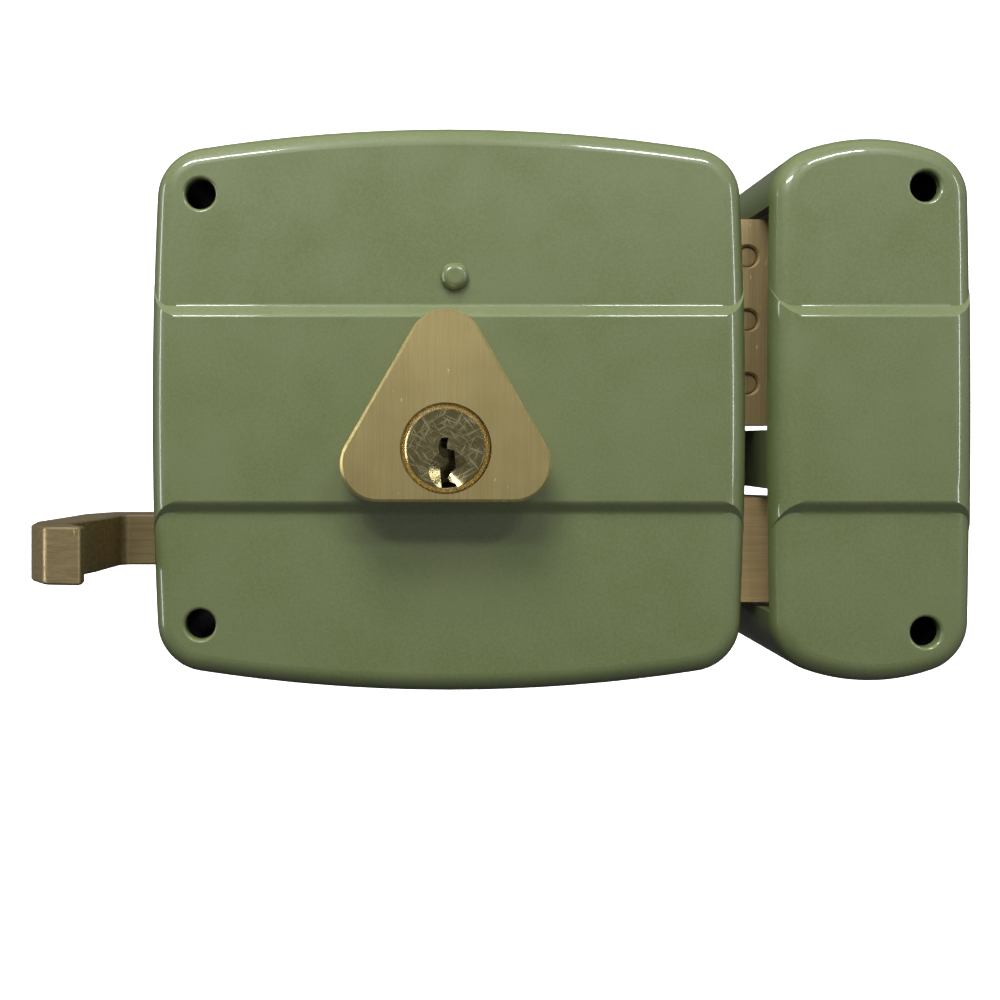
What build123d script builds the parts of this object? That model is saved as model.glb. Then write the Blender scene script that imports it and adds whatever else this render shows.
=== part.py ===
from build123d import *
from math import pi
import os

# Surface-mounted rim lock with a deadbolt, a spring latch and its keeper box.
#
# Millimetres. X runs along the door towards its edge, Z is up, and Y runs from the room into the
# door. The origin is on the cylinder's axis, at the door's face. Heights are measured out of the
# door's face into the room, so a height h lies at Y = -h.

# ---------------------------------------------------------------- driving dimensions
# Case and keeper boxes
depth = 33.0                # door's face to the flat of the front
wall = 1.5                  # pressed steel
front_round = 3.5           # outer radius of the front edge
band_rise = 1.2             # raised middle band
band_half_base = 17.1       # half height of the band where it leaves the flat
band_half_top = 15.4        # half height of the band on its own flat
band_edge = 1.2             # rounding of the band's long edges
foot_deep = 0.8             # depth of the strips that round its feet
mid_z = 6.4                 # middle height of both boxes and of their bands

case_left = -48.9
case_right = 50.8
case_height = 94.4
case_arch = 4.4             # rise of the top and bottom edges from corner to middle
case_bow = 1.2              # bulge of the sides
case_corner = 8.6

keeper_left = 54.5
keeper_right = 88.4
keeper_height = 91.2
keeper_arch = 4.6
keeper_bow = 0.5
keeper_corner = 9.0

# Fastening through the front
screw_hole_r = 2.5
hole_roll = 0.6             # rolled-in edge of each front hole
case_hole_x = -40.3
case_hole_half = 35.65
keeper_hole_x = 79.8
keeper_hole_half = 36.9
spacer_r = 3.4
spacer_edge = 0.8
spacer_short = 0.2          # air between a spacer and the front
spacer_bore_r = 2.6

# Back plate and the flange round the door's edge
plate = 2.0
plate_gap = 0.15
flange_reach = 20.0
flange_height = 74.0
flange_corner = 3.0
flange_hole_r = 2.25
flange_hole_pitch = 60.0
tail_hole_r = 8.0
plate_screw_r = 1.5
plate_screw_head_r = 2.8
plate_screw_head = 1.3
standoff_spots = [(-20, 45.0), (-20, -32.0), (40, 43.3), (40, -30.6)]

# Cylinder
block_top_z = 16.0          # centre of the block's top corner
block_low_x = 10.65         # centres of its two lower corners
block_low_z = -2.45
block_corner = 6.0
block_front = depth + 8.2
block_edge = 0.45
barrel_r = 8.0
barrel_back = 14.5
bar_half = 4.5              # pin chamber bar
bar_top = 18.0
plug_r = 6.3
plug_fit = 0.05
plug_head_r = 6.9
plug_head_deep = 2.4
head_gap = 0.3
plug_back = 13.0
pin_count = 5
pin_pitch = 3.5
first_pin = 30.5            # height of the pin nearest the front
pin_r = 1.2
chamber_r = 1.3

screw_spots = [(-block_low_x - 0.3, block_low_z), (block_low_x + 0.3, block_low_z)]
screw_r = 1.6
screw_deep = 5.5

# Domed rivet and the strip that it holds over the pin chambers
rivet_spot = (1.8, 28.3)
rivet_head_r = 2.35
rivet_head = 1.4
rivet_r = 1.5
retainer_plate = 1.2

# Bolts
bolt_front = 25.0
bolt_back = 11.0
bolt_play = 0.35            # air round a bolt in its window
deadbolt_low = 3.9
deadbolt_high = 39.6
deadbolt_rear = 30.5
deadbolt_tip = 70.5
hard_pin_x = 53.1
hard_pin_z = 22.1
hard_pin_pitch = 11.05
hard_pin_r = 1.8
hard_pin_sunk = 0.5         # front of each hard pin below the bolt's face
hard_pin_flare = 0.35       # chamfer round each hard pin
latch_low = -26.8
latch_high = -8.7
latch_rear = 32.8
latch_tip = 62.8

# Rack and pinion: one turn of the plug is the whole throw
module = 0.8
tooth_count = 8
tooth_pitch = pi * module
pitch_r = module * tooth_count / 2
throw = tooth_pitch * tooth_count

# Latch bar and finger pull
pull_low = -22.2
pull_high = -12.8
pull_mid = (pull_low + pull_high) / 2
stem_front = 11.0
stem_back = 2.4
bar_plate = 2.5
bar_height = pull_high - pull_low - 0.4
bar_left = -34.4
bar_right = 40.0
bar_pin_r = 1.2
bar_pin_long = 8.0
pull_rivet_r = 1.3

# Latch spring, its pin on the bolt and the guide that it pushes on
spring_height = 18.3
spring_r = 2.6
spring_pin_r = 1.2
spring_pin_tip = 24.8
latch_guide_x = 9.5
latch_guide_plate = 2.5
latch_guide_high = 23.0

# Deadbolt tail, its stud and its detent
tail_back = 8.5
tail_front = bolt_back
tail_left = -6.4
tail_right = 43.5
tail_top = 18.0
tail_rivet_r = 1.5
hard_pin_deep = 8.0
stud_spot = (2.0, 11.5)
stud_r = 2.5
detent_spot = (-30.0, 21.0)

# Plug clip and drive pinion
driver_top = 11.0
clip_low = 13.45
clip_plate = 0.7
clip_inner_r = 5.5
neck_r = 1.9
neck_deep = 2.0
gear_front = 11.2
gear_back = 8.1
boss_back = 3.2

# Keeper's strike plate
strike_x = keeper_left + wall + keeper_bow + 0.1
strike_front = 27.0

os.makedirs("parts", exist_ok=True)


def front_plane(height):
    """Plane parallel to the door, at a height out of it; local x is X and local y is Z."""
    return Plane.XZ.offset(height)


def level_plane(z):
    """Horizontal plane; local x is X and local y is Y."""
    return Plane.XY.offset(z)


def write(builder, name):
    """Label a finished piece and write it."""
    builder.part.label = name
    export_step(builder.part, f"parts/{name}.step")


# ---------------------------------------------------------------- pressed boxes
def bowed_outline(left, right, height, arch, bow, corner, inset):
    """Front outline with arched ends, bowed sides and round corners, moved in by inset."""
    half_w = (right - left) / 2 - inset
    half_h = height / 2 - inset
    with BuildSketch() as outline:
        with BuildLine():
            ThreePointArc((-half_w + bow, half_h - arch), (0, half_h), (half_w - bow, half_h - arch))
            ThreePointArc((half_w - bow, half_h - arch), (half_w, 0), (half_w - bow, arch - half_h))
            ThreePointArc((half_w - bow, arch - half_h), (0, -half_h), (bow - half_w, arch - half_h))
            ThreePointArc((bow - half_w, arch - half_h), (-half_w, 0), (-half_w + bow, half_h - arch))
        make_face()
        fillet(outline.vertices(), radius=corner - inset)
    return Pos((left + right) / 2, mid_z) * outline.sketch


def rounded_block(outline, height, radius):
    """Block on the door's face with a rounded front edge."""
    with BuildPart() as block:
        with BuildSketch(front_plane(0)):
            add(outline)
        extrude(amount=height)
        fillet(block.faces().sort_by(Axis.Y)[0].edges(), radius=radius)
    return block.part


def pressed_form(outline, inset):
    """Solid bounded by a pressed skin: a rounded block with the raised band across it.

    The band's front edge starts from the side walls at the same height as the block's, so the band
    dies out into them.
    """
    flat = depth - inset
    crown = flat + band_rise
    slope = (band_half_base - band_half_top) / band_rise
    top = band_half_top - inset / 2
    foot = top + slope * crown
    with BuildPart() as band:
        add(rounded_block(outline, crown, front_round + band_rise - inset))
        with BuildSketch(Plane.YZ.offset(-200)) as flanks:
            with BuildLine():
                Polyline(
                    (-crown, mid_z + top),
                    (0, mid_z + foot),
                    (0, mid_z - foot),
                    (-crown, mid_z - top),
                    close=True,
                )
            make_face()
            fillet(flanks.vertices().group_by(Axis.X)[0], radius=band_edge)
        extrude(amount=400, mode=Mode.INTERSECT)
    with BuildPart() as form:
        add(rounded_block(outline, flat, front_round - inset))
        add(band.part)
    return form.part


def band_feet(left, right):
    """Thin strips that round the hollow where the band rises from the flat."""
    start = left + front_round + band_rise
    half_way = (band_half_base + band_half_top) / 2
    with BuildPart() as feet:
        with BuildSketch(Plane.YZ.offset(start)) as section:
            for side in (1, -1):
                with BuildLine():
                    Polyline(
                        (-depth, mid_z + side * (band_half_base + 1.5)),
                        (-depth, mid_z + side * band_half_base),
                        (-depth - band_rise / 2, mid_z + side * half_way),
                        (-depth - band_rise / 2 + foot_deep, mid_z + side * half_way),
                        (-depth + foot_deep, mid_z + side * band_half_base),
                        (-depth + foot_deep, mid_z + side * (band_half_base + 1.5)),
                        close=True,
                    )
                make_face()
            fillet(
                section.vertices().filter_by(
                    lambda point: abs(point.X + depth) < 0.01
                    and abs(abs(point.Y - mid_z) - band_half_base) < 0.01
                ),
                radius=band_edge,
            )
        extrude(amount=right - left - 2 * (front_round + band_rise))
    return feet.part


case_shape = (case_left, case_right, case_height, case_arch, case_bow, case_corner)
keeper_shape = (keeper_left, keeper_right, keeper_height, keeper_arch, keeper_bow, keeper_corner)


def block_profile():
    """Triangular front of the cylinder body, with round corners."""
    with BuildSketch() as profile:
        with Locations((0, block_top_z), (-block_low_x, block_low_z), (block_low_x, block_low_z)):
            Circle(block_corner)
        make_hull()
    return profile.sketch


def front_holes(x, half, radius):
    """Sketch of the upper and lower front holes."""
    with BuildSketch() as holes:
        with Locations((x, mid_z + half), (x, mid_z - half)):
            Circle(radius)
    return holes.sketch


with BuildPart() as case_cover:
    add(pressed_form(bowed_outline(*case_shape, inset=0), 0))
    add(pressed_form(bowed_outline(*case_shape, inset=wall), wall), mode=Mode.SUBTRACT)
    add(band_feet(case_left, case_right))
    # Front screw holes, with a rolled edge
    with BuildSketch(front_plane(depth - wall - 1)):
        add(front_holes(case_hole_x, case_hole_half, screw_hole_r))
    extrude(amount=wall + 2, mode=Mode.SUBTRACT)
    hole_edges = case_cover.edges().filter_by(GeomType.CIRCLE).filter_by(
        lambda edge: abs(edge.radius - screw_hole_r) < 0.01 and edge.center().Y < -depth + 0.1
    )
    fillet(hole_edges, radius=hole_roll)
    # Opening behind the cylinder body
    with BuildSketch(front_plane(depth - wall - 1)):
        Circle(barrel_r + 0.2)
        with Locations((0, bar_top / 2)):
            Rectangle(2 * bar_half + 0.4, bar_top + 0.4)
        with Locations(*screw_spots):
            Circle(screw_r + 0.1)
        with Locations(rivet_spot):
            Circle(rivet_r)
    extrude(amount=wall + band_rise + 2, mode=Mode.SUBTRACT)
    # Windows for the bolts in the right wall
    with BuildSketch(Plane.YZ.offset(case_right - 6)):
        for low, high in ((deadbolt_low, deadbolt_high), (latch_low, latch_high)):
            with Locations((-(bolt_front + bolt_back) / 2, (low + high) / 2)):
                Rectangle(bolt_front - bolt_back + 2 * bolt_play, high - low + 2 * bolt_play)
    extrude(amount=10, mode=Mode.SUBTRACT)
    # Slot for the pull in the left wall, open at the back
    with BuildSketch(Plane.YZ.offset(case_left - 4)):
        with Locations((-(stem_front + bolt_play) / 2, pull_mid)):
            Rectangle(stem_front + bolt_play, pull_high - pull_low + 2 * bolt_play)
    extrude(amount=10, mode=Mode.SUBTRACT)
write(case_cover, "case_cover")

with BuildPart() as front_rivet:
    with BuildSketch(front_plane(depth)):
        with Locations(rivet_spot):
            Circle(rivet_head_r)
    extrude(amount=rivet_head)
    fillet(front_rivet.edges().group_by(Axis.Y)[0], radius=rivet_head - 0.1)
    with BuildSketch(front_plane(depth - wall - retainer_plate - 0.8)):
        with Locations(rivet_spot):
            Circle(rivet_r)
    extrude(amount=wall + retainer_plate + 0.8)
write(front_rivet, "front_rivet")

# ---------------------------------------------------------------- back plate and guides
with BuildPart() as back_plate:
    with BuildSketch(front_plane(0)):
        add(bowed_outline(*case_shape, inset=wall + plate_gap))
        add(front_holes(case_hole_x, case_hole_half, screw_hole_r), mode=Mode.SUBTRACT)
        Circle(tail_hole_r, mode=Mode.SUBTRACT)
        with Locations(*standoff_spots):
            Circle(plate_screw_r, mode=Mode.SUBTRACT)
    extrude(amount=plate)
    # Countersinks for the screws that hold the cover
    with Locations(front_plane(0)):
        with Locations(*standoff_spots):
            Cone(
                bottom_radius=plate_screw_head_r,
                top_radius=plate_screw_r,
                height=plate_screw_head,
                align=(Align.CENTER, Align.CENTER, Align.MIN),
                mode=Mode.SUBTRACT,
            )
    # Flange bent back round the door's edge
    flange_x = case_right - wall - plate_gap - case_bow
    with BuildSketch(Plane.YZ.offset(flange_x - plate)) as flange_outline:
        with Locations(((flange_reach - plate) / 2, mid_z)):
            Rectangle(flange_reach + plate, flange_height)
        fillet(flange_outline.vertices().group_by(Axis.X)[-1], radius=flange_corner)
    extrude(amount=plate)
    flange_holes_z = [mid_z - flange_hole_pitch / 2, mid_z + flange_hole_pitch / 2]
    with BuildSketch(Plane.YZ.offset(flange_x - plate - 1)):
        with Locations(*[(flange_reach / 2, z) for z in flange_holes_z]):
            Circle(flange_hole_r)
    extrude(amount=plate + 2, mode=Mode.SUBTRACT)
write(back_plate, "back_plate")

with BuildPart() as cover_standoffs:
    with BuildSketch(front_plane(plate)):
        with Locations(*standoff_spots):
            Circle(2.8)
            Circle(plate_screw_r, mode=Mode.SUBTRACT)
    extrude(amount=depth - wall - plate)
write(cover_standoffs, "cover_standoffs")

with BuildPart() as back_plate_screws:
    with BuildSketch(front_plane(0)):
        with Locations(*standoff_spots):
            Circle(plate_screw_r)
    extrude(amount=8.0)
    with Locations(front_plane(0)):
        with Locations(*standoff_spots):
            Cone(
                bottom_radius=plate_screw_head_r,
                top_radius=plate_screw_r,
                height=plate_screw_head,
                align=(Align.CENTER, Align.CENTER, Align.MIN),
            )
    with BuildSketch(front_plane(0)):
        with Locations(*standoff_spots):
            Rectangle(4.0, 0.7)
    extrude(amount=0.6, mode=Mode.SUBTRACT)
write(back_plate_screws, "back_plate_screws")


def spacer_tube(x, z, low):
    """Tube round a mounting screw, from a height up to the inside of the front."""
    with BuildPart() as tube:
        with BuildSketch(front_plane(low)):
            with Locations((x, z)):
                Circle(spacer_r)
        extrude(amount=depth - wall - spacer_short - low)
        chamfer(tube.edges().group_by(Axis.Y)[0], length=spacer_edge)
        with BuildSketch(front_plane(low)):
            with Locations((x, z)):
                Circle(spacer_bore_r)
        extrude(amount=depth - low, mode=Mode.SUBTRACT)
    return tube.part


for name, side in (("upper_mount_spacer", 1), ("lower_mount_spacer", -1)):
    with BuildPart() as mount_spacer:
        add(spacer_tube(case_hole_x, mid_z + side * case_hole_half, plate))
    write(mount_spacer, name)

guide_x = 44.5
with BuildPart() as guide_plate:
    with BuildSketch(Plane.YZ.offset(guide_x)):
        with Locations((-(plate + 29.0) / 2, mid_z)):
            RectangleRounded(29.0 - plate, 74.0, 2.0)
        for low, high in ((deadbolt_low, deadbolt_high), (latch_low, latch_high)):
            with Locations((-(bolt_front + bolt_back) / 2, (low + high) / 2)):
                Rectangle(
                    bolt_front - bolt_back + 2 * bolt_play,
                    high - low + 2 * bolt_play,
                    mode=Mode.SUBTRACT,
                )
    extrude(amount=2.5)
write(guide_plate, "guide_plate")

with BuildPart() as latch_guide:
    with BuildSketch(Plane.YZ.offset(latch_guide_x)):
        with Locations((-(plate + latch_guide_high) / 2, pull_mid)):
            RectangleRounded(latch_guide_high - plate, 16.0, 1.5)
        with Locations((-(stem_front + bar_plate / 2), pull_mid)):
            Rectangle(bar_plate + 0.7, bar_height + 0.7, mode=Mode.SUBTRACT)
        with Locations((-spring_height, pull_mid)):
            Circle(spring_pin_r + 0.35, mode=Mode.SUBTRACT)
    extrude(amount=latch_guide_plate)
write(latch_guide, "latch_guide")

with BuildPart() as tail_guide_stud:
    with BuildSketch(front_plane(plate)):
        with Locations(stud_spot):
            Circle(stud_r)
    extrude(amount=tail_front + 0.3 - plate)
    with BuildSketch(front_plane(tail_front + 0.3)):
        with Locations(stud_spot):
            Circle(stud_r + 1.4)
    extrude(amount=1.2)
    chamfer(tail_guide_stud.edges().group_by(Axis.Y)[0], length=0.4)
write(tail_guide_stud, "tail_guide_stud")

with BuildPart() as detent_post:
    with BuildSketch(front_plane(plate)):
        with Locations(detent_spot):
            Circle(2.0)
    extrude(amount=tail_front + 0.8 - plate)
    with BuildSketch(front_plane(plate)):
        with Locations(detent_spot):
            Circle(3.2)
    extrude(amount=tail_back - plate - 0.1)
write(detent_post, "detent_post")

with BuildPart() as detent_spring:
    leaf = 0.7
    post_x, post_z = detent_spot
    tip_z = tail_top + 0.35
    with BuildSketch(front_plane(tail_back + 0.2)):
        with Locations(detent_spot):
            Circle(2.0 + leaf)
        with BuildLine():
            Polyline(
                (post_x, post_z + 2.0),
                (-9.0, tip_z + 3.2),
                (-2.5, tip_z),
                (1.0, tip_z + 2.0),
                (1.0, tip_z + 2.0 + leaf),
                (-2.5, tip_z + 1.1),
                (-9.0, tip_z + 3.2 + leaf),
                (post_x, post_z + 2.0 + leaf),
                close=True,
            )
        make_face()
        with Locations(detent_spot):
            Circle(2.0, mode=Mode.SUBTRACT)
    extrude(amount=tail_front - tail_back - 0.4)
write(detent_spring, "detent_spring")

# ---------------------------------------------------------------- cylinder
crown = depth + band_rise
pin_heights = [first_pin - i * pin_pitch for i in range(pin_count)]
pin_spots = [(0, -height) for height in pin_heights]

with BuildPart() as cylinder_body:
    with BuildSketch(front_plane(crown)):
        add(block_profile())
    extrude(amount=block_front - crown)
    chamfer(cylinder_body.faces().sort_by(Axis.Y)[0].edges(), length=block_edge)
    # Barrel and pin chamber bar, through the cover into the case
    with BuildSketch(front_plane(barrel_back)):
        Circle(barrel_r)
        with Locations((0, bar_top / 2)):
            Rectangle(2 * bar_half, bar_top)
    extrude(amount=crown - barrel_back)
    with BuildSketch(front_plane(barrel_back - 1)):
        Circle(plug_r + plug_fit)
    extrude(amount=block_front - barrel_back + 2, mode=Mode.SUBTRACT)
    with BuildSketch(front_plane(block_front - plug_head_deep - 0.1)):
        Circle(plug_head_r + head_gap)
    extrude(amount=plug_head_deep + 1, mode=Mode.SUBTRACT)
    with BuildSketch(level_plane(plug_r / 2)):
        with Locations(*pin_spots):
            Circle(chamber_r)
    extrude(amount=bar_top, mode=Mode.SUBTRACT)
    with BuildSketch(front_plane(crown - 1)):
        with Locations(*screw_spots):
            Circle(screw_r)
    extrude(amount=screw_deep + 1, mode=Mode.SUBTRACT)
write(cylinder_body, "cylinder_body")

with BuildPart() as cylinder_screws:
    inside = crown - wall
    with BuildSketch(front_plane(inside - 1.5)):
        with Locations(*screw_spots):
            Circle(2.8)
    extrude(amount=1.5)
    fillet(cylinder_screws.edges().group_by(Axis.Y)[-1], radius=0.6)
    with BuildSketch(front_plane(inside - 1.5)):
        with Locations(*screw_spots):
            Rectangle(4.4, 0.8)
    extrude(amount=0.7, mode=Mode.SUBTRACT)
    with BuildSketch(front_plane(inside)):
        with Locations(*screw_spots):
            Circle(screw_r)
    extrude(amount=wall + screw_deep - 0.5)
write(cylinder_screws, "cylinder_screws")

with BuildPart() as driver_pins:
    with BuildSketch(level_plane(plug_r + 0.15)):
        with Locations(*pin_spots):
            Circle(pin_r)
    extrude(amount=driver_top - plug_r - 0.15)
    chamfer(driver_pins.edges().group_by(Axis.Z)[-1], length=0.3)
write(driver_pins, "driver_pins")

with BuildPart() as driver_springs:
    wire_r = 0.15
    for height in pin_heights:
        with BuildLine() as coil:
            Helix(
                pitch=0.85,
                height=bar_top - driver_top - 4 * wire_r,
                radius=0.85,
                center=(0, -height, driver_top + 2 * wire_r),
            )
        with BuildSketch(Plane(origin=coil.line @ 0, z_dir=coil.line % 0)):
            Circle(wire_r)
        sweep(is_frenet=True)
write(driver_springs, "driver_springs")

with BuildPart() as chamber_cap:
    with BuildSketch(level_plane(bar_top)):
        with Locations((0, -(crown - wall + barrel_back) / 2)):
            RectangleRounded(7.0, crown - wall - barrel_back - 2.0, 1.0)
    extrude(amount=0.8)
write(chamber_cap, "chamber_cap")

with BuildPart() as chamber_retainer:
    lip_z = bar_top + 0.8
    inside = depth - wall
    with BuildSketch(front_plane(inside - retainer_plate)):
        with Locations((rivet_spot[0] - 1.0, (lip_z + 33.0) / 2)):
            RectangleRounded(9.0, 33.0 - lip_z, 1.0)
        with Locations(rivet_spot):
            Circle(rivet_r, mode=Mode.SUBTRACT)
    extrude(amount=retainer_plate)
    with BuildSketch(level_plane(lip_z)):
        with Locations((0, -(inside + barrel_back + 1) / 2)):
            Rectangle(6.0, inside - barrel_back - 1)
    extrude(amount=retainer_plate)
write(chamber_retainer, "chamber_retainer")


def keyway_profile():
    """Warded keyway seen from the front: a stepped slot that leans one way and then the other."""
    with BuildSketch() as keyway:
        with BuildLine():
            Polyline(
                (-0.80, 1.65),
                (-1.19, 0.28),
                (-1.08, -0.72),
                (-0.42, -1.38),
                (0.35, -1.54),
                (0.35, -2.15),
                (0.02, -2.70),
                (-0.91, -3.09),
                (-0.69, -6.60),
                (1.95, -6.60),
                (1.68, -5.57),
                (0.79, -5.34),
                (0.35, -4.68),
                (0.90, -3.80),
                (1.62, -3.14),
                (1.34, -0.33),
                (0.24, -0.06),
                (0.19, 0.83),
                (0.41, 1.65),
                close=True,
            )
        make_face()
    return keyway.sketch


with BuildPart() as plug:
    with BuildSketch(front_plane(plug_back)):
        Circle(plug_r)
    extrude(amount=block_front - plug_back)
    with BuildSketch(front_plane(block_front - plug_head_deep + 0.1)):
        Circle(plug_head_r)
    extrude(amount=plug_head_deep + 0.1)
    chamfer(plug.edges().group_by(Axis.Y)[0], length=0.75)
    # Conical dimple that leads the key in
    with Locations(Plane(origin=(0.46, -block_front - 0.2, -3.47), z_dir=(0, -1, 0))):
        Cone(
            bottom_radius=0.3,
            top_radius=3.1,
            height=1.5,
            align=(Align.CENTER, Align.CENTER, Align.MAX),
            mode=Mode.SUBTRACT,
        )
    with BuildSketch(front_plane(plug_back + 5)):
        add(keyway_profile())
    extrude(amount=block_front - plug_back, mode=Mode.SUBTRACT)
    with BuildSketch(level_plane(0)):
        with Locations(*pin_spots):
            Circle(pin_r + 0.05)
    extrude(amount=plug_r + 1, mode=Mode.SUBTRACT)
    # Groove for the clip, and the socket for the pinion's neck
    with BuildSketch(front_plane(clip_low - 0.05)):
        Circle(plug_r + 1)
        Circle(clip_inner_r, mode=Mode.SUBTRACT)
    extrude(amount=clip_plate + 0.1, mode=Mode.SUBTRACT)
    with BuildSketch(front_plane(plug_back)):
        Circle(neck_r)
    extrude(amount=neck_deep, mode=Mode.SUBTRACT)
write(plug, "plug")

with BuildPart() as key_pins:
    with BuildSketch(level_plane(1.75)):
        with Locations(*pin_spots):
            Circle(pin_r)
    extrude(amount=plug_r - 0.15 - 1.75)
    chamfer(key_pins.edges().group_by(Axis.Z)[0], length=0.6)
write(key_pins, "key_pins")

with BuildPart() as plug_clip:
    with BuildSketch(front_plane(clip_low)):
        Circle(7.6)
        Circle(clip_inner_r, mode=Mode.SUBTRACT)
        with Locations((0, -clip_inner_r)):
            Rectangle(6.4, 8.0, mode=Mode.SUBTRACT)
    extrude(amount=clip_plate)
write(plug_clip, "plug_clip")

with BuildPart() as drive_pinion:
    tip_r = pitch_r + 0.70
    root_r = pitch_r - 1.00
    with BuildSketch(front_plane(gear_back)):
        Circle(root_r)
        with PolarLocations(0, tooth_count, start_angle=90 + 180 / tooth_count):
            Polygon(
                (root_r - 0.3, -0.55),
                (pitch_r, -0.48),
                (tip_r, -0.25),
                (tip_r, 0.25),
                (pitch_r, 0.48),
                (root_r - 0.3, 0.55),
                align=None,
            )
    extrude(amount=gear_front - gear_back)
    with BuildSketch(front_plane(gear_front)):
        Circle(neck_r)
    extrude(amount=plug_back + neck_deep - gear_front)
    # Boss with the slot that an outside cylinder's tailpiece turns
    with BuildSketch(front_plane(boss_back)):
        Circle(4.9)
    extrude(amount=gear_back - boss_back)
    with BuildSketch(front_plane(boss_back)):
        Rectangle(1.8, 7.6)
    extrude(amount=3.6, mode=Mode.SUBTRACT)
write(drive_pinion, "drive_pinion")

# ---------------------------------------------------------------- deadbolt
hard_pin_spots = [(hard_pin_x, hard_pin_z + k * hard_pin_pitch) for k in (-1, 0, 1)]
tail_rivet_spots = [(36.0, 11.0), (36.0, 29.0)]

with BuildPart() as deadbolt_block:
    with BuildSketch(front_plane(bolt_back)):
        with Locations(((deadbolt_rear + deadbolt_tip) / 2, (deadbolt_low + deadbolt_high) / 2)):
            Rectangle(deadbolt_tip - deadbolt_rear, deadbolt_high - deadbolt_low)
    extrude(amount=bolt_front - bolt_back)
    chamfer(deadbolt_block.faces().sort_by(Axis.X)[-1].edges(), length=0.8)
    with BuildSketch(front_plane(bolt_front - hard_pin_deep)):
        with Locations(*hard_pin_spots):
            Circle(hard_pin_r)
    extrude(amount=hard_pin_deep + 1, mode=Mode.SUBTRACT)
    pin_rims = deadbolt_block.edges().filter_by(GeomType.CIRCLE).filter_by(
        lambda edge: abs(edge.center().Y + bolt_front) < 0.01
    )
    chamfer(pin_rims, length=hard_pin_flare)
    with BuildSketch(front_plane(bolt_back - 1)):
        with Locations(*tail_rivet_spots):
            Circle(tail_rivet_r)
    extrude(amount=6.0, mode=Mode.SUBTRACT)
write(deadbolt_block, "deadbolt_block")

with BuildPart() as deadbolt_hard_pins:
    with BuildSketch(front_plane(bolt_front - hard_pin_deep)):
        with Locations(*hard_pin_spots):
            Circle(hard_pin_r)
    extrude(amount=hard_pin_deep - hard_pin_sunk)
    chamfer(deadbolt_hard_pins.edges().group_by(Axis.Y)[0], length=0.3)
write(deadbolt_hard_pins, "deadbolt_hard_pins")

with BuildPart() as deadbolt_tail:
    rack_root = pitch_r + 0.95
    rack_tip = pitch_r - 0.55
    with BuildSketch(front_plane(tail_back)):
        with Locations(((tail_left + tail_right) / 2, (rack_root + tail_top) / 2)):
            Rectangle(tail_right - tail_left, tail_top - rack_root)
        with Locations(((28.0 + tail_right) / 2, (rack_root + 34.0) / 2)):
            Rectangle(tail_right - 28.0, 34.0 - rack_root)
        with Locations(*[(k * tooth_pitch, 0) for k in range(-2, 11)]):
            Polygon(
                (-0.83, rack_root + 0.2),
                (-0.23, rack_tip),
                (0.23, rack_tip),
                (0.83, rack_root + 0.2),
                align=None,
            )
        with Locations((stud_spot[0] + throw / 2, stud_spot[1])):
            SlotCenterToCenter(throw, 2 * stud_r + 0.16, mode=Mode.SUBTRACT)
        # Notches for the detent spring at both ends of the throw
        with Locations((-2.5, tail_top), (-2.5 + throw, tail_top)):
            Rectangle(2.4, 2.4, rotation=45, mode=Mode.SUBTRACT)
        with Locations(*tail_rivet_spots):
            Circle(tail_rivet_r, mode=Mode.SUBTRACT)
    extrude(amount=tail_front - tail_back)
write(deadbolt_tail, "deadbolt_tail")

with BuildPart() as deadbolt_rivets:
    with BuildSketch(front_plane(tail_back - 1.0)):
        with Locations(*tail_rivet_spots):
            Circle(tail_rivet_r + 1.1)
    extrude(amount=1.0)
    fillet(deadbolt_rivets.edges().group_by(Axis.Y)[-1], radius=0.7)
    with BuildSketch(front_plane(tail_back)):
        with Locations(*tail_rivet_spots):
            Circle(tail_rivet_r)
    extrude(amount=7.0)
write(deadbolt_rivets, "deadbolt_rivets")

# ---------------------------------------------------------------- latch and finger pull
pull_rivet_spots = [(-32.0, pull_mid), (-27.5, pull_mid)]
bar_pin_spots = [(36.5, pull_mid - 2.4), (36.5, pull_mid + 2.4)]

with BuildPart() as latch_bolt:
    with BuildSketch(level_plane(latch_low)):
        with BuildLine():
            Polyline(
                (latch_rear, -bolt_back),
                (latch_tip - 10.3, -bolt_back),
                (latch_tip, -bolt_back - 10.0),
                (latch_tip, -bolt_front),
                (latch_rear, -bolt_front),
                close=True,
            )
        make_face()
    extrude(amount=latch_high - latch_low)
    chamfer(latch_bolt.faces().sort_by(Axis.X)[-1].edges(), length=0.6)
    # Groove for the bar, holes for its pins, and the spring pin's hole
    with BuildSketch(front_plane(bolt_back - 1)):
        with Locations((latch_rear, pull_mid)):
            Rectangle(2 * (bar_right - latch_rear), bar_height)
    extrude(amount=bar_plate + 1, mode=Mode.SUBTRACT)
    with BuildSketch(front_plane(bolt_back)):
        with Locations(*bar_pin_spots):
            Circle(bar_pin_r)
    extrude(amount=bar_pin_long, mode=Mode.SUBTRACT)
    with BuildSketch(Plane.YZ.offset(latch_rear)):
        with Locations((-spring_height, pull_mid)):
            Circle(spring_pin_r)
    extrude(amount=5.0, mode=Mode.SUBTRACT)
write(latch_bolt, "latch_bolt")

with BuildPart() as latch_bar:
    with BuildSketch(front_plane(stem_front)):
        with Locations(((bar_left + bar_right) / 2, pull_mid)):
            Rectangle(bar_right - bar_left, bar_height)
        with Locations(*bar_pin_spots):
            Circle(bar_pin_r, mode=Mode.SUBTRACT)
        with Locations(*pull_rivet_spots):
            Circle(pull_rivet_r, mode=Mode.SUBTRACT)
    extrude(amount=bar_plate)
write(latch_bar, "latch_bar")

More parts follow.
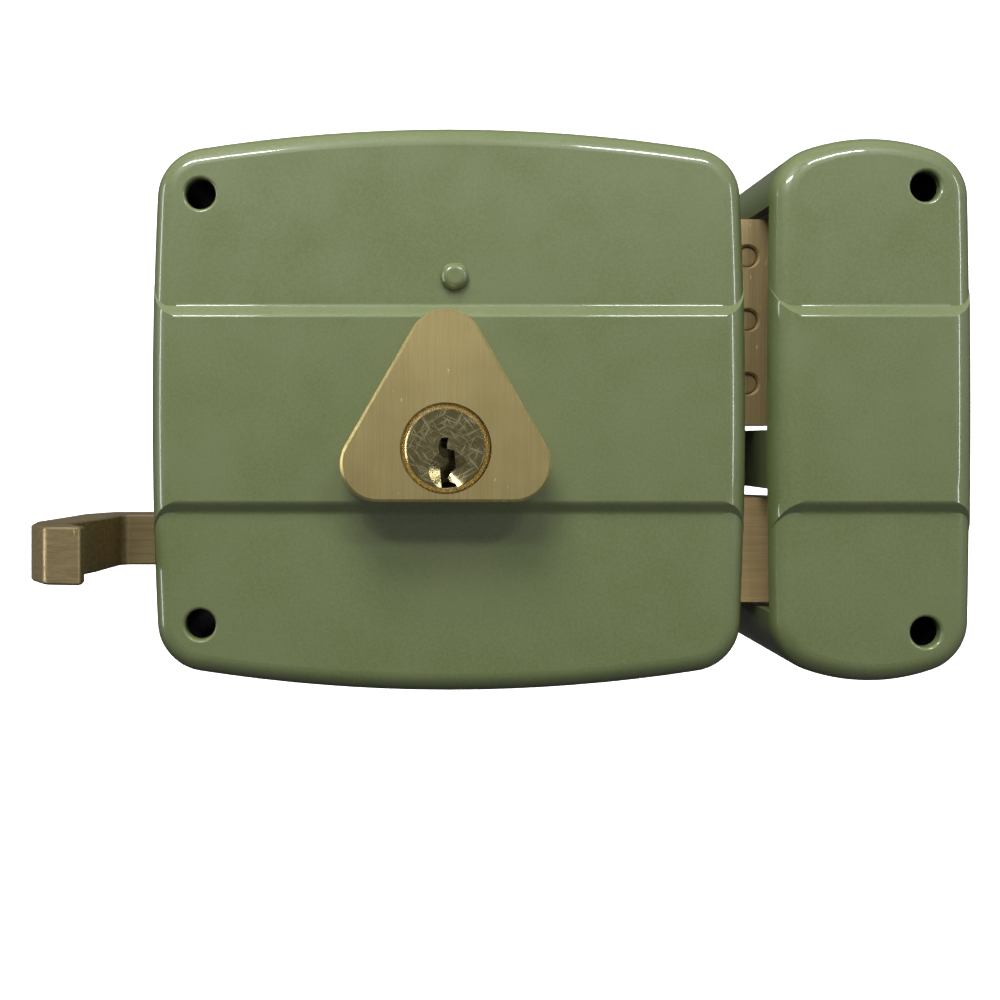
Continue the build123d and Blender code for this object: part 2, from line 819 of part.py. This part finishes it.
with BuildPart() as latch_bar_pins:
    with BuildSketch(front_plane(bolt_back)):
        with Locations(*bar_pin_spots):
            Circle(bar_pin_r)
    extrude(amount=bar_pin_long)
write(latch_bar_pins, "latch_bar_pins")

with BuildPart() as finger_pull:
    with BuildSketch(level_plane(pull_low)):
        with BuildLine():
            FilletPolyline(
                (-24.0, -stem_front),
                (-59.4, -stem_front),
                (-61.1, -21.0),
                (-63.7, -29.2),
                (-58.6, -35.2),
                (-58.8, -37.2),
                (-64.8, -36.4),
                (-68.8, -31.6),
                (-70.1, -25.5),
                (-68.7, -17.0),
                (-67.6, -8.0),
                (-63.6, -stem_back),
                (-24.0, -stem_back),
                radius=[0.7, 1.6, 0.8, 1.2, 0.7, 0.7, 2.0, 2.5, 3.0, 6.0, 3.5, 2.5, 0.7],
                close=True,
            )
        make_face()
    extrude(amount=pull_high - pull_low)
    chamfer(finger_pull.edges().group_by(Axis.Z)[0], length=0.4)
    chamfer(finger_pull.edges().group_by(Axis.Z)[-1], length=0.25)
    with BuildSketch(front_plane(stem_back + 1)):
        with Locations(*pull_rivet_spots):
            Circle(pull_rivet_r)
    extrude(amount=stem_front, mode=Mode.SUBTRACT)
write(finger_pull, "finger_pull")

with BuildPart() as pull_rivets:
    with BuildSketch(front_plane(stem_back + 1)):
        with Locations(*pull_rivet_spots):
            Circle(pull_rivet_r)
    extrude(amount=stem_front + bar_plate - stem_back - 1)
    with BuildSketch(front_plane(stem_front + bar_plate)):
        with Locations(*pull_rivet_spots):
            Circle(pull_rivet_r + 0.8)
    extrude(amount=0.8)
    fillet(pull_rivets.edges().group_by(Axis.Y)[0], radius=0.5)
write(pull_rivets, "pull_rivets")

with BuildPart() as spring_pin:
    with BuildSketch(Plane.YZ.offset(spring_pin_tip)):
        with Locations((-spring_height, pull_mid)):
            Circle(spring_pin_r)
    extrude(amount=latch_rear + 5.0 - spring_pin_tip)
    chamfer(spring_pin.edges().group_by(Axis.X)[0], length=0.3)
write(spring_pin, "spring_pin")

with BuildPart() as latch_spring:
    wire_r = 0.35
    spring_start = latch_guide_x + latch_guide_plate + wire_r
    with BuildLine() as coil:
        Helix(
            pitch=2.4,
            height=latch_rear - wire_r - spring_start,
            radius=spring_r,
            center=(spring_start, -spring_height, pull_mid),
            direction=(1, 0, 0),
        )
    with BuildSketch(Plane(origin=coil.line @ 0, z_dir=coil.line % 0)):
        Circle(wire_r)
    sweep(is_frenet=True)
write(latch_spring, "latch_spring")

# ---------------------------------------------------------------- keeper
notches = ((deadbolt_low - 0.9, deadbolt_high + 1.1), (latch_low - 0.8, latch_high + 1.8))
notch_front = depth - 3.0

with BuildPart() as keeper_shell:
    add(pressed_form(bowed_outline(*keeper_shape, inset=0), 0))
    add(pressed_form(bowed_outline(*keeper_shape, inset=wall), wall), mode=Mode.SUBTRACT)
    add(band_feet(keeper_left, keeper_right))
    with BuildSketch(front_plane(depth - wall - 1)):
        add(front_holes(keeper_hole_x, keeper_hole_half, screw_hole_r))
    extrude(amount=wall + 2, mode=Mode.SUBTRACT)
    hole_edges = keeper_shell.edges().filter_by(GeomType.CIRCLE).filter_by(
        lambda edge: abs(edge.radius - screw_hole_r) < 0.01 and edge.center().Y < -depth + 0.1
    )
    fillet(hole_edges, radius=hole_roll)
    # Notches in the left wall, open at the back
    with BuildSketch(Plane.YZ.offset(keeper_left - 2)):
        for low, high in notches:
            with Locations((-(notch_front - 1) / 2, (low + high) / 2)):
                Rectangle(notch_front + 1, high - low)
    extrude(amount=6, mode=Mode.SUBTRACT)
write(keeper_shell, "keeper_shell")

with BuildPart() as keeper_strike:
    with BuildSketch(Plane.YZ.offset(strike_x)):
        with Locations(((flange_reach - strike_front) / 2, mid_z)):
            RectangleRounded(flange_reach + strike_front, 70.0, 3.0)
        for low, high in notches:
            with Locations((-strike_front / 2, (low + high) / 2)):
                Rectangle(strike_front, high - low, mode=Mode.SUBTRACT)
        with Locations(*[(flange_reach / 2, z) for z in flange_holes_z]):
            Circle(flange_hole_r, mode=Mode.SUBTRACT)
    extrude(amount=plate)
write(keeper_strike, "keeper_strike")

with BuildPart() as keeper_spacers:
    for side in (1, -1):
        add(spacer_tube(keeper_hole_x, mid_z + side * keeper_hole_half, 0))
write(keeper_spacers, "keeper_spacers")
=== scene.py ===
"""Looks of a surface-mounted rim lock and its keeper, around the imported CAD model."""
import math

import bpy
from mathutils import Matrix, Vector


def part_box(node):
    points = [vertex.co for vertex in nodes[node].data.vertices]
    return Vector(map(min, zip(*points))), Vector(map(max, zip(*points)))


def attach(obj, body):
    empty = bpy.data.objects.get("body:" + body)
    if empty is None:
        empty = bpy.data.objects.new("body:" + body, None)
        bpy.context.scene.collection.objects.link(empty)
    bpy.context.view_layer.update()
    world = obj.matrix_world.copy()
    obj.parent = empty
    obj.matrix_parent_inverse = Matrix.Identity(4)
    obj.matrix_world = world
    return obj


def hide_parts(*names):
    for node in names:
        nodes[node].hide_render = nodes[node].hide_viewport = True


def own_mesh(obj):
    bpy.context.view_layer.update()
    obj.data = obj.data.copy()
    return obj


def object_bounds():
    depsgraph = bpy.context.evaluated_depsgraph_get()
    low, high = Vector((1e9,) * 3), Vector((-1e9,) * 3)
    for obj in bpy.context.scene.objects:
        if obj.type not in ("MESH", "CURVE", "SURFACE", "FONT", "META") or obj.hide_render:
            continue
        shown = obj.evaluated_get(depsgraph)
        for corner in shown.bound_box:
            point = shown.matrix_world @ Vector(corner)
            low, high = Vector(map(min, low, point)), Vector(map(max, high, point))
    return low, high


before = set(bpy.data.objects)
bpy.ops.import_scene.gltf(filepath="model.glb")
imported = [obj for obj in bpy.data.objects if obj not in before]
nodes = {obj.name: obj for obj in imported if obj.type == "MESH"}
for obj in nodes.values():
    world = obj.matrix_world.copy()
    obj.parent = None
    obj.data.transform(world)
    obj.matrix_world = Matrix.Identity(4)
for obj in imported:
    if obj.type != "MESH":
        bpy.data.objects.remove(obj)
cad_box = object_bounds()

# ------------------------------------------------------------------ named values, in metres
MM = 0.001

CAMERA_RIGHT = -0.0064      # camera's place against the cylinder's axis
CAMERA_UP = 0.0013
CAMERA_AWAY = 0.1588        # from the crown of the case's band
LENS_MM = 34.85
SENSOR_MM = 36.0
SHIFT_RIGHT = 0.095
SHIFT_UP = -0.060
CLIP_START = 0.01

FLOOR_DROP = 0.11           # floor below the lock
FLOOR_FRONT = -1.6          # nearest edge of the floor
WALL_BACK = 0.55            # backdrop behind the lock
WALL_HEIGHT = 1.8
SWEEP_HALF = 1.8            # half width of floor and wall
SWEEP_BEND = 0.25           # radius between floor and wall
SWEEP_STEPS = 12

PLUG_RIM = 6.35 * MM        # inner edge of the plug's chamfer, painted bright partly as rubbed bare brass and partly as a painted highlight
SPRING_WIRE = 0.7 * MM
SPRING_TURNS = 9

WORLD_LOW = (0.17, 0.17, 0.16, 1)       # surroundings near the floor
WORLD_HIGH = (0.62, 0.63, 0.62, 1)      # surroundings overhead
WORLD_BEHIND = 0.25                     # brightness behind the lock, against the front

# Name, place from the lock's centre, width, height, watts, and whether it leaves a highlight
LIGHTS = (
    ("overhead", (-0.10, -0.31, 0.53), 0.30, 0.22, 6.8, False),
    ("front_fill", (0.15, -1.1, -0.50), 1.2, 0.8, 2.2, False),
    ("upper_left_strip", (-0.24, -0.48, 0.42), 0.22, 0.05, 2.2, True),
    ("upper_right_strip", (0.21, -0.46, 0.40), 0.17, 0.045, 1.5, True),
    ("left_window", (-0.62, -0.10, 0.05), 0.06, 0.5, 1.0, True),
    ("right_window", (0.58, -0.40, 0.12), 0.04, 0.35, 0.7, True),
)


# ------------------------------------------------------------------ shader helpers
class Shader:
    """A node material with short ways to add procedural detail in the object's own coordinates."""

    def __init__(self, name):
        self.material = bpy.data.materials.new(name)
        self.material.use_nodes = True
        self.tree = self.material.node_tree
        self.bsdf = self.tree.nodes["Principled BSDF"]
        self.coords = self.tree.nodes.new("ShaderNodeTexCoord").outputs["Object"]

    def link(self, output, socket):
        self.tree.links.new(output, socket)

    def set(self, **values):
        """Plain values on the shader's own sockets, such as coat_weight=0.4."""
        for name, value in values.items():
            socket = name.replace("_", " ").title().replace("Ior", "IOR")
            self.bsdf.inputs[socket].default_value = value
        return self

    def stretched(self, scale, turn=(0, 0, 0)):
        """Coordinates turned, then measured in units of 1/scale metres along each axis."""
        turned = self.tree.nodes.new("ShaderNodeMapping")
        turned.inputs["Rotation"].default_value = turn
        self.link(self.coords, turned.inputs["Vector"])
        mapping = self.tree.nodes.new("ShaderNodeMapping")
        mapping.inputs["Scale"].default_value = scale
        self.link(turned.outputs["Vector"], mapping.inputs["Vector"])
        return mapping.outputs["Vector"]

    def distance_from_y(self):
        """Distance from the object's Y axis, in metres."""
        split = self.tree.nodes.new("ShaderNodeSeparateXYZ")
        self.link(self.coords, split.inputs["Vector"])
        x, z = split.outputs["X"], split.outputs["Z"]
        squares = self.math("ADD", self.math("MULTIPLY", x, x), self.math("MULTIPLY", z, z))
        return self.math("POWER", squares, 0.5)

    def noise(self, scale, detail=3.0, roughness=0.5, turn=(0, 0, 0)):
        """Noise whose features repeat about every 1/scale metres; scale is one number or three."""
        scale = (scale,) * 3 if isinstance(scale, (int, float)) else scale
        node = self.tree.nodes.new("ShaderNodeTexNoise")
        node.inputs["Scale"].default_value = 1.0
        node.inputs["Detail"].default_value = detail
        node.inputs["Roughness"].default_value = roughness
        self.link(self.stretched(scale, turn), node.inputs["Vector"])
        return node.outputs["Fac"]

    def ramp(self, value, low, high, to_low=0.0, to_high=1.0):
        """Maps low..high to to_low..to_high, held at the ends."""
        node = self.tree.nodes.new("ShaderNodeMapRange")
        for name, number in zip(
            ("From Min", "From Max", "To Min", "To Max"), (low, high, to_low, to_high)
        ):
            node.inputs[name].default_value = number
        self.link(value, node.inputs["Value"])
        return node.outputs["Result"]

    def math(self, operation, a, b):
        """One arithmetic step on two values."""
        node = self.tree.nodes.new("ShaderNodeMath")
        node.operation = operation
        for socket, value in zip(node.inputs, (a, b)):
            if isinstance(value, (int, float)):
                socket.default_value = value
            else:
                self.link(value, socket)
        return node.outputs["Value"]

    def blend(self, factor, first, second):
        """Colour between two colours, each a tuple or a node's output."""
        node = self.tree.nodes.new("ShaderNodeMix")
        node.data_type = "RGBA"
        self.link(factor, node.inputs["Factor"])
        for socket, colour in ((node.inputs[6], first), (node.inputs[7], second)):
            if isinstance(colour, tuple):
                socket.default_value = (*colour, 1.0)
            else:
                self.link(colour, socket)
        return node.outputs[2]

    def colour(self, output):
        self.link(output, self.bsdf.inputs["Base Color"])

    def roughness(self, output):
        self.link(output, self.bsdf.inputs["Roughness"])

    def bump(self, *layers):
        """Bump layers of (height, depth in metres), one on another."""
        normal = None
        for height, depth in layers:
            node = self.tree.nodes.new("ShaderNodeBump")
            node.inputs["Strength"].default_value = 1.0
            node.inputs["Distance"].default_value = depth
            self.link(height, node.inputs["Height"])
            if normal:
                self.link(normal, node.inputs["Normal"])
            normal = node.outputs["Normal"]
        self.link(normal, self.bsdf.inputs["Normal"])


def dress(material, *names):
    """Gives CAD nodes a material."""
    for name in names:
        data = nodes[name].data
        data.materials.clear()
        data.materials.append(material)


# ------------------------------------------------------------------ materials
def green_paint():
    """Baked semi-gloss enamel on pressed steel: orange peel, dust specks and faint mottling."""
    s = Shader("green_enamel")
    s.set(metallic=0.0, coat_weight=0.8, coat_roughness=0.07, specular_ior_level=0.5)
    mottle = s.ramp(s.noise(70, 4), 0.35, 0.65)
    grain = s.ramp(s.noise(2400, 2), 0.35, 0.65)
    base = s.blend(mottle, (0.063, 0.083, 0.027), (0.073, 0.090, 0.034))
    base = s.blend(s.math("MULTIPLY", grain, 0.5), base, (0.092, 0.110, 0.046))
    speck = s.ramp(s.noise(1100, 1, 0.3), 0.77, 0.80)
    base = s.blend(s.math("MULTIPLY", speck, 0.6), base, (0.06, 0.075, 0.035))
    s.colour(base)
    s.roughness(s.ramp(s.noise(140, 3), 0.3, 0.7, 0.34, 0.46))
    s.bump((s.noise(520, 2), 0.006 * MM), (speck, 0.006 * MM))
    return s.material


def brushed_brass(name, light, dark, along, rough, streak=0.004, metal=1.0):
    """Brass with a fine grain along one axis, tarnish clouds and stray nicks."""
    s = Shader(name)
    s.set(metallic=metal)
    grain_scale = tuple(110.0 if axis == along else 6500.0 for axis in "xyz")
    coarse_scale = tuple(30.0 if axis == along else 1400.0 for axis in "xyz")
    grain = s.noise(grain_scale, 3, 0.65)
    coarse = s.noise(coarse_scale, 2)
    lines = s.math("MULTIPLY", s.math("ADD", grain, coarse), 0.5)
    tone = s.ramp(lines, 0.38, 0.62)
    cloud = s.ramp(s.noise(130, 4), 0.35, 0.70)
    nick = s.ramp(s.noise((1500, 1500, 500), 1, 0.3), 0.765, 0.79)
    base = s.blend(tone, dark, light)
    base = s.blend(s.math("MULTIPLY", cloud, 0.30), base, tuple(c * 0.70 for c in dark))
    base = s.blend(s.math("MULTIPLY", nick, 0.7), base, tuple(min(c * 1.5, 0.95) for c in light))
    s.colour(base)
    s.roughness(s.ramp(lines, 0.3, 0.7, rough + 0.10, rough - 0.04))
    s.bump((grain, streak * MM), (coarse, streak * MM), (nick, 0.02 * MM))
    return s.material


def plug_brass():
    """Satin plug brass: dull face with fine crossing scratches, and a bright chamfer ring that is
    partly key rub and partly a painted highlight.
    """
    s = Shader("plug_brass")
    s.set(metallic=1.0)
    marks = None
    for turn, wide in ((0.5, 5200), (1.1, 4200), (2.2, 4800), (2.7, 6000)):
        line = s.ramp(s.noise((330, 330, wide), 2, 0.4, (0, turn, 0)), 0.62, 0.70)
        marks = line if marks is None else s.math("MAXIMUM", marks, line)
    cloud = s.ramp(s.noise(480, 4), 0.3, 0.7)
    base = s.blend(cloud, (0.22, 0.19, 0.085), (0.29, 0.25, 0.12))
    base = s.blend(s.math("MULTIPLY", marks, 0.45), base, (0.85, 0.74, 0.46))
    # The chamfer ring is painted bright: partly rubbed bare brass, partly a painted highlight.
    chamfer_rub_and_highlight = s.ramp(s.distance_from_y(), PLUG_RIM - 0.1 * MM, PLUG_RIM)
    base = s.blend(chamfer_rub_and_highlight, base, (0.95, 0.80, 0.48))
    s.colour(base)
    s.roughness(s.ramp(marks, 0.0, 1.0, 0.24, 0.34))
    s.bump((s.noise(6000, 2), 0.002 * MM), (marks, 0.003 * MM))
    return s.material


def steel(name, light, dark, rough, grain=3000.0):
    """Plain or plated steel with a mottled, lightly rolled surface."""
    s = Shader(name)
    s.set(metallic=1.0)
    cloud = s.ramp(s.noise(220, 5), 0.3, 0.7)
    rolled = s.noise((grain, grain, 200.0), 3, 0.6)
    s.colour(s.blend(cloud, dark, light))
    s.roughness(s.ramp(s.noise(900, 3), 0.3, 0.7, rough - 0.05, rough + 0.10))
    s.bump((rolled, 0.004 * MM), (s.noise(1400, 3), 0.004 * MM))
    return s.material


def studio_white():
    """Matt white sweep, lit from within so that it stays clean behind the lock."""
    s = Shader("studio_white")
    s.set(roughness=0.9, emission_strength=1.0)
    s.bsdf.inputs["Emission Color"].default_value = (1, 1, 1, 1)
    s.bsdf.inputs["Base Color"].default_value = (0.8, 0.8, 0.8, 1)
    return s.material


enamel = green_paint()
block_brass = brushed_brass(
    "block_brass", (0.74, 0.61, 0.29), (0.54, 0.43, 0.185), "z", 0.34,
)
bolt_brass = brushed_brass(
    "bolt_brass", (0.49, 0.37, 0.18), (0.39, 0.29, 0.135), "z", 0.36, metal=0.7,
)
latch_brass = brushed_brass(
    "latch_brass", (0.72, 0.52, 0.26), (0.56, 0.40, 0.19), "x", 0.38, metal=0.7,
)
pull_brass = brushed_brass(
    "pull_brass", (0.46, 0.36, 0.19), (0.29, 0.22, 0.11), "x", 0.36, metal=0.9,
)
turned_brass = brushed_brass(
    "turned_brass", (0.80, 0.64, 0.34), (0.62, 0.48, 0.24), "z", 0.26, streak=0.002,
)
hard_pin_brass = brushed_brass(
    "hard_pin_brass", (0.46, 0.34, 0.17), (0.30, 0.22, 0.10), "z", 0.40, metal=0.7,
)
plug_face = plug_brass()
zinc_steel = steel("zinc_steel", (0.62, 0.63, 0.62), (0.46, 0.47, 0.47), 0.34)
plain_steel = steel("plain_steel", (0.40, 0.39, 0.38), (0.26, 0.25, 0.24), 0.40)
# Near-black steel is painted shade: the mount spacers take it so that the screw holes read dark.
painted_shade_steel = steel("painted_shade_steel", (0.045, 0.045, 0.047), (0.02, 0.02, 0.022), 0.42)
spring_steel = steel("spring_steel", (0.58, 0.58, 0.60), (0.38, 0.38, 0.40), 0.25)

dress(enamel, "case_cover", "front_rivet", "keeper_shell")
dress(block_brass, "cylinder_body")
dress(bolt_brass, "deadbolt_block")
dress(latch_brass, "latch_bolt")
dress(pull_brass, "finger_pull")
dress(turned_brass, "driver_pins", "key_pins", "chamber_cap", "deadbolt_rivets", "pull_rivets")
dress(plug_face, "plug")
dress(hard_pin_brass, "deadbolt_hard_pins")
dress(
    zinc_steel, "back_plate", "cover_standoffs", "back_plate_screws", "cylinder_screws",
    "keeper_strike",
)
# The spacers behind the screw holes are coloured near black as painted shade.
dress(painted_shade_steel, "upper_mount_spacer", "lower_mount_spacer", "keeper_spacers")
dress(
    plain_steel, "guide_plate", "chamber_retainer", "tail_guide_stud", "latch_guide", "detent_post",
    "drive_pinion", "deadbolt_tail", "latch_bar", "latch_bar_pins", "spring_pin",
)
dress(spring_steel, "driver_springs", "detent_spring", "plug_clip", "latch_spring")


# ------------------------------------------------------------------ latch spring
def coil_mesh(name, start, end, centre_y, centre_z, radius, wire, turns, sides=10, steps=24):
    """Wound wire along X with closed, flattened end turns."""
    rings = []
    count = turns * steps
    for i in range(count + 1):
        share = i / count
        turn = share * turns
        dead = 1.0
        travel = min(max((turn - dead) / (turns - 2 * dead), 0.0), 1.0)
        x = start + wire / 2 + travel * (end - start - wire)
        x += (min(turn, dead) - dead + max(turn - turns + dead, 0.0)) * wire * 0.02
        angle = 2 * math.pi * turn
        out = Vector((0, math.cos(angle), math.sin(angle)))
        middle = Vector((x, centre_y, centre_z)) + out * (radius - wire / 2)
        rings.append([
            middle + (out * math.cos(a) + Vector((1, 0, 0)) * math.sin(a)) * wire / 2
            for a in (2 * math.pi * k / sides for k in range(sides))
        ])
    points = [p for ring in rings for p in ring]
    faces = [
        (
            i * sides + k,
            i * sides + (k + 1) % sides,
            (i + 1) * sides + (k + 1) % sides,
            (i + 1) * sides + k,
        )
        for i in range(count) for k in range(sides)
    ]
    faces.append(tuple(range(sides)))
    faces.append(tuple(count * sides + k for k in reversed(range(sides))))
    mesh = bpy.data.meshes.new(name)
    mesh.from_pydata(points, [], faces)
    mesh.update()
    mesh.shade_smooth()
    piece = bpy.data.objects.new(name, mesh)
    bpy.context.scene.collection.objects.link(piece)
    return piece


spring_low, spring_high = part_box("latch_spring")
spring_y = (spring_low.y + spring_high.y) / 2
spring_z = (spring_low.z + spring_high.z) / 2
spring_radius = (spring_high.z - spring_low.z) / 2
latch_spring = coil_mesh(
    "latch_return_spring", spring_low.x, spring_high.x, spring_y, spring_z,
    spring_radius, SPRING_WIRE, SPRING_TURNS,
)
latch_spring.data.materials.append(spring_steel)
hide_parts("latch_spring")
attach(latch_spring, "latch")
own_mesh(latch_spring)

# ------------------------------------------------------------------ stage
def sweep_backdrop(low):
    """Floor that curves up into a wall behind the lock. It neither lights nor shows in the lock."""
    floor_z = low.z - FLOOR_DROP
    bend_start = WALL_BACK - SWEEP_BEND
    profile = [(FLOOR_FRONT, floor_z), (bend_start, floor_z)]
    for step in range(1, SWEEP_STEPS + 1):
        angle = math.pi / 2 * step / SWEEP_STEPS
        y = bend_start + SWEEP_BEND * math.sin(angle)
        z = floor_z + SWEEP_BEND * (1 - math.cos(angle))
        profile.append((y, z))
    profile.append((WALL_BACK, floor_z + WALL_HEIGHT))
    points = [(side * SWEEP_HALF, y, z) for y, z in profile for side in (-1, 1)]
    faces = [(2 * i, 2 * i + 1, 2 * i + 3, 2 * i + 2) for i in range(len(profile) - 1)]
    mesh = bpy.data.meshes.new("sweep")
    mesh.from_pydata(points, [], faces)
    mesh.shade_smooth()
    mesh.materials.append(studio_white())
    backdrop = bpy.data.objects.new("sweep", mesh)
    bpy.context.scene.collection.objects.link(backdrop)
    backdrop.visible_diffuse = False
    backdrop.visible_glossy = False


def softbox(name, place, target, width, height, watts, mirrored):
    """Rectangular area light aimed at a point. One that isn't mirrored leaves no highlight."""
    light = bpy.data.lights.new(name, "AREA")
    light.shape = "RECTANGLE"
    light.size = width
    light.size_y = height
    light.energy = watts
    lamp = bpy.data.objects.new(name, light)
    lamp.location = place
    lamp.visible_glossy = mirrored
    lamp.rotation_euler = (Vector(target) - Vector(place)).to_track_quat("-Z", "Y").to_euler()
    bpy.context.scene.collection.objects.link(lamp)


def room_light():
    """Soft surroundings: pale overhead, dim below, dimmer behind the lock."""
    world = bpy.data.worlds.new("studio")
    bpy.context.scene.world = world
    world.use_nodes = True
    tree = world.node_tree
    background = tree.nodes["Background"]
    direction = tree.nodes.new("ShaderNodeTexCoord").outputs["Generated"]
    split = tree.nodes.new("ShaderNodeSeparateXYZ")
    tree.links.new(direction, split.inputs["Vector"])
    ramp = tree.nodes.new("ShaderNodeValToRGB")
    ramp.color_ramp.elements[0].position = 0.30
    ramp.color_ramp.elements[0].color = WORLD_LOW
    ramp.color_ramp.elements[1].position = 0.95
    ramp.color_ramp.elements[1].color = WORLD_HIGH
    shift = tree.nodes.new("ShaderNodeMapRange")
    shift.inputs["From Min"].default_value = -1.0
    tree.links.new(split.outputs["Z"], shift.inputs["Value"])
    tree.links.new(shift.outputs["Result"], ramp.inputs["Fac"])
    tree.links.new(ramp.outputs["Color"], background.inputs["Color"])
    behind = tree.nodes.new("ShaderNodeMapRange")
    behind.inputs["From Min"].default_value = 0.05
    behind.inputs["From Max"].default_value = 0.45
    behind.inputs["To Min"].default_value = 1.0
    behind.inputs["To Max"].default_value = WORLD_BEHIND
    tree.links.new(split.outputs["Y"], behind.inputs["Value"])
    tree.links.new(behind.outputs["Result"], background.inputs["Strength"])


low, high = Vector(cad_box[0]), Vector(cad_box[1])
centre = (low + high) / 2
sweep_backdrop(low)
for name, offset, width, height, watts, mirrored in LIGHTS:
    softbox(name, centre + Vector(offset), centre, width, height, watts, mirrored)
room_light()
bpy.context.scene.view_settings.view_transform = "Standard"

# ------------------------------------------------------------------ camera
camera = bpy.data.cameras.new("camera")
camera.lens = LENS_MM
camera.sensor_width = SENSOR_MM
camera.shift_x = SHIFT_RIGHT
camera.shift_y = SHIFT_UP
camera.clip_start = CLIP_START
eye = bpy.data.objects.new("camera", camera)
crown_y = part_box("case_cover")[0].y
eye.location = (CAMERA_RIGHT, crown_y - CAMERA_AWAY, CAMERA_UP)
eye.rotation_euler = (math.pi / 2, 0, 0)
bpy.context.scene.collection.objects.link(eye)
bpy.context.scene.camera = eye
